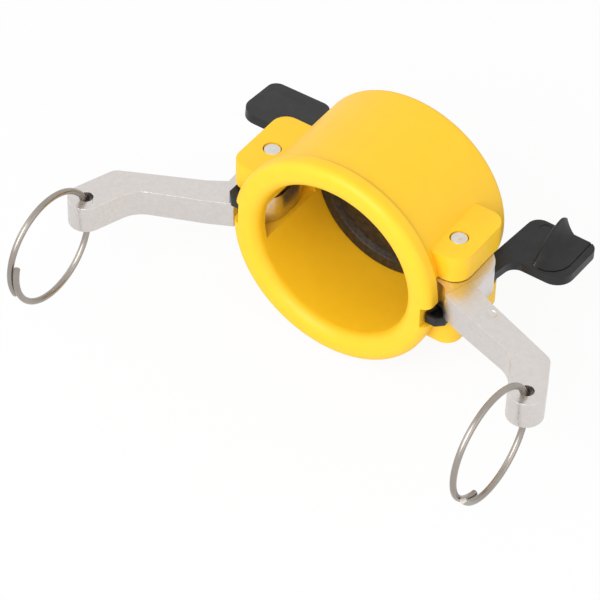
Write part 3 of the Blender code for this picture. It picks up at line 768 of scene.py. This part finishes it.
def build_lock(label, side, lean):
    """One moulding from the nose in the rim's notch to the thumb tab behind the ears."""
    lock = plate("lock_blank", [lock_outline(), circle((0, 0), PIN_HOLE_RADIUS)],
                 LOCK_BOTTOM + SKIN, LOCK_TOP - SKIN)
    bevel(lock, LOCK_EDGE, 2)
    cut(lock, nose_pocket())
    cut(lock, thumb_rest(), "UNION")
    cut(lock, lip_groove())
    cut(lock, rod("mark", MARK_RADIUS, LOCK_TOP - MARK_DEPTH, LOCK_TOP + MM, MARK, 32))
    if lean:
        lean_tab(lock, lean)
    return finished(lock, f"{label}_lock", BLACK, sharp_from=30, place=pin_matrix(side))


# Split rings


def ring_nodes():
    """Node group of one split ring: a coil of a little over one turn, swept with a round wire."""
    group = bpy.data.node_groups.new("split_ring", "GeometryNodeTree")
    face = group.interface
    for name, value in (("Ring Radius", RING_RADIUS), ("Wire Radius", WIRE_RADIUS), ("Turns", 1.0),
                        ("Coil Height", WIRE_RADIUS * 2)):
        face.new_socket(name, in_out="INPUT", socket_type="NodeSocketFloat").default_value = value
    face.new_socket("Finish", in_out="INPUT", socket_type="NodeSocketMaterial")
    face.new_socket("Geometry", in_out="OUTPUT", socket_type="NodeSocketGeometry")
    given = group.nodes.new("NodeGroupInput")
    coil = group.nodes.new("GeometryNodeCurveSpiral")
    coil.inputs["Resolution"].default_value = RING_STEPS
    wire = group.nodes.new("GeometryNodeCurvePrimitiveCircle")
    wire.inputs["Resolution"].default_value = WIRE_STEPS
    sweep = group.nodes.new("GeometryNodeCurveToMesh")
    sweep.inputs["Fill Caps"].default_value = True
    realize = group.nodes.new("GeometryNodeRealizeInstances")
    paint = group.nodes.new("GeometryNodeSetMaterial")
    result = group.nodes.new("NodeGroupOutput")
    join = group.links.new
    join(given.outputs["Turns"], coil.inputs["Rotations"])
    join(given.outputs["Ring Radius"], coil.inputs["Start Radius"])
    join(given.outputs["Ring Radius"], coil.inputs["End Radius"])
    join(given.outputs["Coil Height"], coil.inputs["Height"])
    join(given.outputs["Wire Radius"], wire.inputs["Radius"])
    join(coil.outputs["Curve"], sweep.inputs["Curve"])
    join(wire.outputs["Curve"], sweep.inputs["Profile Curve"])
    join(sweep.outputs["Mesh"], realize.inputs["Geometry"])
    join(realize.outputs["Geometry"], paint.inputs["Geometry"])
    join(given.outputs["Finish"], paint.inputs["Material"])
    join(paint.outputs["Geometry"], result.inputs["Geometry"])
    return group


def coil_mesh(group, turns, pitch):
    """Plain mesh of the coil, which starts at +X and climbs +Z."""
    obj = new_object("ring_blank", bpy.data.meshes.new("ring_blank"))
    mod = obj.modifiers.new("coil", "NODES")
    mod.node_group = group
    values = {"Ring Radius": RING_RADIUS, "Wire Radius": WIRE_RADIUS - SKIN, "Turns": turns,
              "Coil Height": pitch * turns, "Finish": WIRE}
    for item in group.interface.items_tree:
        if item.item_type == "SOCKET" and item.in_out == "INPUT":
            mod[item.identifier] = values[item.name]
    return welded(obj)


def build_ring(label, side, opening, tilt, lap_at, group):
    """One split ring, threaded through the arm's end, with its ends lapping at lap_at."""
    turns = 1 + RING_LAP / (2 * math.pi)
    pitch = 2 * WIRE_RADIUS + CLEAR
    mesh = coil_mesh(group, turns, pitch)
    # The coil's turning sense is read from its points a quarter of a turn up. Its first end is then
    # set where the lap begins, with the ring's axis along X and its far side towards -Y.
    quarter = [v.co.y for v in mesh.vertices if 0.2 < v.co.z / pitch < 0.3]
    sense = 1 if sum(quarter) > 0 else -1
    slip = pitch * (turns / 2 - lap_at / (2 * math.pi))
    for v in mesh.vertices:
        x, y, z = v.co
        angle = math.atan2(sense * y, x) + lap_at - RING_LAP / 2
        radius = math.hypot(x, y)
        v.co = (z - slip, RING_SEAT - RING_RADIUS - radius * math.cos(angle), radius * math.sin(angle))
    hole = Matrix.Rotation(-opening, 2) @ Vector(RING_HOLE)
    middle = (ARM_TOP + ARM_BOTTOM) / 2
    place = (Matrix.Translation((side * (PIN_OFFSET + hole.x), PIN_Y + hole.y, side * middle))
             @ Matrix.Rotation(RING_TURN, 4, "Z") @ Matrix.Rotation(tilt, 4, "X"))
    return finished(new_object("ring_mesh", mesh), f"{label}_ring", WIRE, sharp_from=40, place=place)


# The object

shown = [                     # piece, body, the nodes that it stands for, material slot
    (build_cup(), "cap", ["cap_body"], "cap_yellow"),
    (build_seal(), "cap", ["seal_disc"], "seal_rubber")]
rings = ring_nodes()
for label, side, opening, lean, tilt, lap_at in (
        ("right", 1, OPEN_RIGHT, LEAN_RIGHT, RING_TILT_RIGHT, RING_JOINT_RIGHT),
        ("left", -1, OPEN_LEFT, LEAN_LEFT, RING_TILT_LEFT, RING_JOINT_LEFT)):
    shown.append((build_arm(label, side, opening), f"{label}_arm", [f"{label}_cam_arm"], "arm_aluminium"))
    shown.append((build_pin(label, side), "cap", [f"{label}_pivot_pin"], "pin_steel"))
    ring = build_ring(label, side, opening, tilt, lap_at, rings)
    shown.append((ring, f"{label}_ring", [f"{label}_pull_ring"], "ring_steel"))
    lock = build_lock(label, side, lean)
    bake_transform(lock)
    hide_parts(f"{label}_lock_lever", f"{label}_lock_tab")
for piece, body, nodes, paint in shown:
    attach(piece, body)
    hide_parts(*nodes)


# Stage

scene.view_settings.view_transform = "Standard"


def seen_directly(tree, share):
    """Value that is `share` for camera, glossy and transmission rays and 0 for the rest."""
    path = tree.nodes.new("ShaderNodeLightPath")
    value = path.outputs["Is Camera Ray"]
    for name in ("Is Glossy Ray", "Is Transmission Ray"):
        most = tree.nodes.new("ShaderNodeMath")
        most.operation = "MAXIMUM"
        tree.links.new(value, most.inputs[0])
        tree.links.new(path.outputs[name], most.inputs[1])
        value = most.outputs[0]
    part = tree.nodes.new("ShaderNodeMath")
    part.operation = "MULTIPLY"
    part.inputs[1].default_value = share
    tree.links.new(value, part.inputs[0])
    return part.outputs[0]


def stage_paper():
    """Matt paper that is plain white where it is seen, with a trace of the cap's shadow."""
    paper = bpy.data.materials.new("paper")
    paper.use_nodes = True
    tree = paper.node_tree
    shader, out = tree.nodes["Principled BSDF"], tree.nodes["Material Output"]
    shader.inputs["Base Color"].default_value = (0.8, 0.8, 0.8, 1)
    shader.inputs["Roughness"].default_value = 0.9
    glow = tree.nodes.new("ShaderNodeEmission")
    glow.inputs["Strength"].default_value = 1.0
    mix = tree.nodes.new("ShaderNodeMixShader")
    tree.links.new(seen_directly(tree, FLOOR_GLOW), mix.inputs[0])
    tree.links.new(shader.outputs[0], mix.inputs[1])
    tree.links.new(glow.outputs[0], mix.inputs[2])
    tree.links.new(mix.outputs[0], out.inputs["Surface"])
    return paper


def stage_floor():
    z, half = -RIM_RADIUS - FLOOR_GAP, FLOOR_HALF
    corners = [(-half, -half, z), (half, -half, z), (half, half, z), (-half, half, z)]
    mesh = bpy.data.meshes.new("floor")
    mesh.from_pydata(corners, [], [(0, 1, 2, 3)])
    mesh.materials.append(stage_paper())
    floor = bpy.data.objects.new("floor", mesh)
    scene.collection.objects.link(floor)
    return floor


def lamp(name, place, size, watts):
    data = bpy.data.lights.new(name, "AREA")
    data.shape = "SQUARE"
    data.size = size
    data.energy = watts
    obj = bpy.data.objects.new(name, data)
    scene.collection.objects.link(obj)
    obj.location = place
    obj.rotation_euler = (Vector(AIM) - Vector(place)).to_track_quat("-Z", "Y").to_euler()
    return obj


def soft_room():
    """White world: a soft light on the object, and plain white where it is seen."""
    world = bpy.data.worlds.new("soft_room")
    world.use_nodes = True
    tree = world.node_tree
    room = tree.nodes["Background"]
    room.inputs["Color"].default_value = (1, 1, 1, 1)
    level = tree.nodes.new("ShaderNodeMath")
    level.operation = "ADD"
    level.inputs[1].default_value = ROOM_LIGHT
    tree.links.new(seen_directly(tree, 1 - ROOM_LIGHT), level.inputs[0])
    tree.links.new(level.outputs[0], room.inputs["Strength"])
    return world


def photo_camera():
    data = bpy.data.cameras.new("camera")
    data.lens = LENS
    data.sensor_width = SENSOR
    data.clip_start = 0.05
    data.clip_end = 20
    camera = bpy.data.objects.new("camera", data)
    scene.collection.objects.link(camera)
    turn = Matrix((CAMERA_RIGHT, CAMERA_UP, -CAMERA_AHEAD)).transposed().to_4x4()
    camera.matrix_world = Matrix.Translation(CAMERA_PLACE) @ turn
    return camera


scene.world = soft_room()
scene.camera = photo_camera()
stage_floor()
[lamp(*values) for values in LAMPS]
